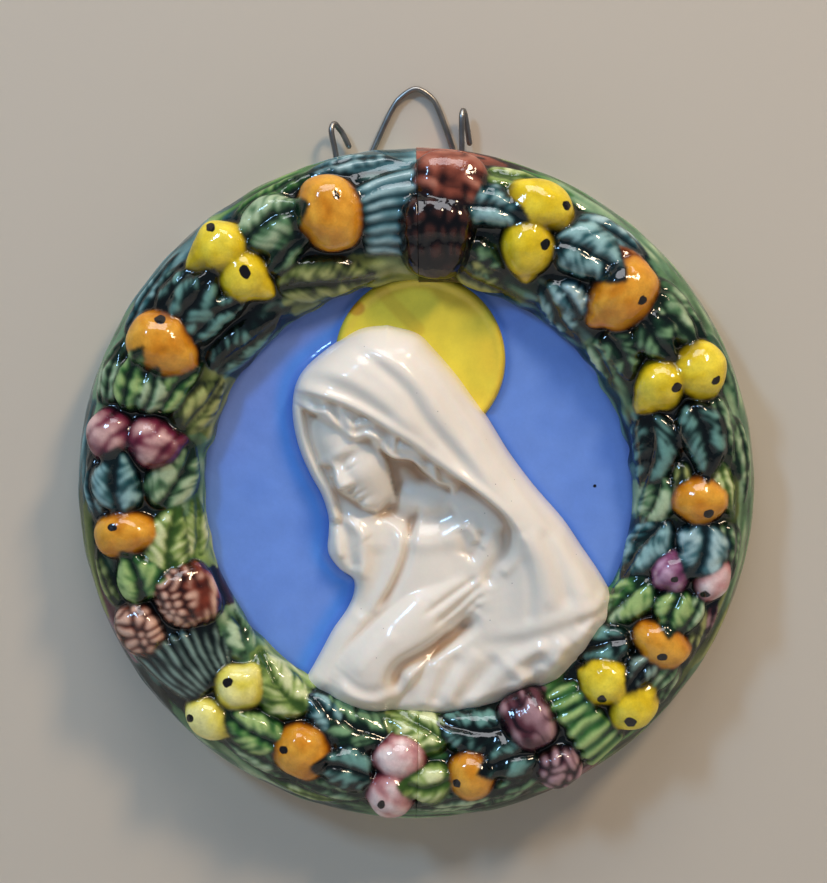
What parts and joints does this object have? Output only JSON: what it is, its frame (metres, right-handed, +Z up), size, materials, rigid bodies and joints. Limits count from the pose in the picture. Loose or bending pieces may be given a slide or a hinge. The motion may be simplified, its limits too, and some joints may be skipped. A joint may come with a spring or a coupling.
{
  "type": "decorative wall plaque",
  "caption": "Round glazed wall plaque with a moulded fruit and leaf garland around a veiled praying figure in relief, hung by a bent wire loop.",
  "frame": {"origin": "where the wire loop rests on its nail, at the underside of the loop's apex", "axes": "+Z up the wall, +Y into the wall, so the front of the plaque faces -Y and +X is to the viewer's right"},
  "size_m": [0.19, 0.0297, 0.2067],
  "materials": {
    "glazed_earthenware": "coloured gloss glaze over cast clay: blue ground, cream figure, yellow halo, green garland with yellow, orange, mauve and brown fruit",
    "steel_wire": "satin drawn wire"
  },
  "bodies": {
    "root": {"plaque": "glazed_earthenware", "hanger_wire": "steel_wire"}
  },
  "joints": []
}
